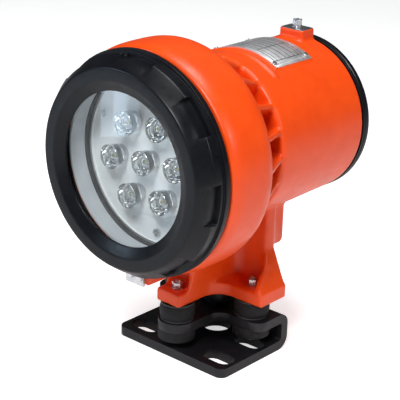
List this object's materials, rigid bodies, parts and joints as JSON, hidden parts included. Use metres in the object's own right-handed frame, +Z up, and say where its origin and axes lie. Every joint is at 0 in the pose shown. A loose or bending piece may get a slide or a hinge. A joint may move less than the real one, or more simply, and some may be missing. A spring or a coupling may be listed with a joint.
{
  "type": "flameproof headlamp",
  "caption": "Round flameproof LED headlamp: orange finned casting with black screwed bezel and rear cover, on a footed base carried by rubber buffers over a bent slotted steel bracket.",
  "frame": {"origin": "centre of the four slots, on the underside of the bracket", "axes": "+Z up, lamp shines towards -Y, lamp axis parallel to Y, +X to the right seen from the front"},
  "size_m": [0.205, 0.2595, 0.3005],
  "materials": {
    "black_powder_coat": "satin powder coat over steel plate",
    "black_anodised": "satin black anodised",
    "orange_paint": "semi-gloss orange enamel over cast aluminium",
    "zinc_steel": "bright zinc plate",
    "rubber": "matt moulded",
    "white_plastic": "matt",
    "clear_glass": "polished toughened glass",
    "lens_acrylic": "clear moulded",
    "white_aluminium": "white baked enamel",
    "board_white": "white solder mask",
    "led_yellow": "phosphor dome",
    "grey_pad": "soft",
    "plain_aluminium": "brushed",
    "board_green": "green solder mask",
    "dark_plastic": "moulded",
    "brass": "plain",
    "lead_red": "silicone sleeve"
  },
  "bodies": {
    "bracket": {"base_bracket": "black_powder_coat", "buffer_pads_lower": "rubber", "buffer_discs_lower": "zinc_steel", "buffer_washers_lower": "zinc_steel", "buffer_nuts_lower": "zinc_steel", "buffer_front": "rubber", "buffer_left": "rubber", "buffer_right": "rubber"},
    "head": {"buffer_discs_upper": "zinc_steel", "buffer_washers_upper": "zinc_steel", "buffer_nuts_upper": "zinc_steel", "housing": "orange_paint", "gland_body": "black_anodised", "gland_seal": "rubber", "gland_nut": "black_anodised", "lock_plate": "zinc_steel", "lock_plate_screws": "zinc_steel", "front_glass": "clear_glass", "glass_gasket": "rubber", "inner_sleeve": "white_aluminium", "spacer_ring": "dark_plastic", "led_plate": "white_aluminium", "thermal_pad": "grey_pad", "led_board": "board_white", "led_emitters": "led_yellow", "lens_holders": "white_plastic", "lenses": "lens_acrylic", "led_plate_screws": "zinc_steel", "led_leads": "lead_red", "driver_tray": "plain_aluminium", "tray_screws": "zinc_steel", "board_standoffs": "brass", "driver_board": "board_green", "driver_parts": "dark_plastic", "terminal_block": "white_plastic", "nameplate": "plain_aluminium", "nameplate_rivets": "plain_aluminium", "earth_screw": "zinc_steel", "earth_washers": "zinc_steel"},
    "bezel_carrier": {"bezel_slip_ring": "white_plastic"},
    "bezel": {"bezel_ring": "black_anodised"},
    "cover_carrier": {"rear_gasket": "rubber"},
    "cover": {"rear_cover": "black_anodised"}
  },
  "joints": [
    {"name": "head_bounce", "type": "slide", "parent": "bracket", "child": "head", "axis": [0, 0, 1], "range_m": [-0.002, 0.002], "stiffness_N_per_m": 200000, "springref_m": 0.0004, "deforming": ["buffer_front", "buffer_left", "buffer_right"]},
    {"name": "bezel_travel", "type": "slide", "parent": "head", "child": "bezel_carrier", "axis": [0, -1, 0], "range_m": [0, 0.0171]},
    {"name": "bezel_turn", "type": "hinge", "parent": "bezel_carrier", "child": "bezel", "pos_m": [0, -0.11, 0.198], "axis": [0, -1, 0], "range_deg": [0, 3060]},
    {"name": "cover_travel", "type": "slide", "parent": "head", "child": "cover_carrier", "axis": [0, 1, 0], "range_m": [0, 0.0151]},
    {"name": "cover_turn", "type": "hinge", "parent": "cover_carrier", "child": "cover", "pos_m": [0, 0.1495, 0.198], "axis": [0, 1, 0], "range_deg": [0, 2700]}
  ],
  "couplings": [
    {"joint": "bezel_travel", "follows": "bezel_turn", "m_per_rad": 0.00031831},
    {"joint": "cover_travel", "follows": "cover_turn", "m_per_rad": 0.00031831}
  ]
}
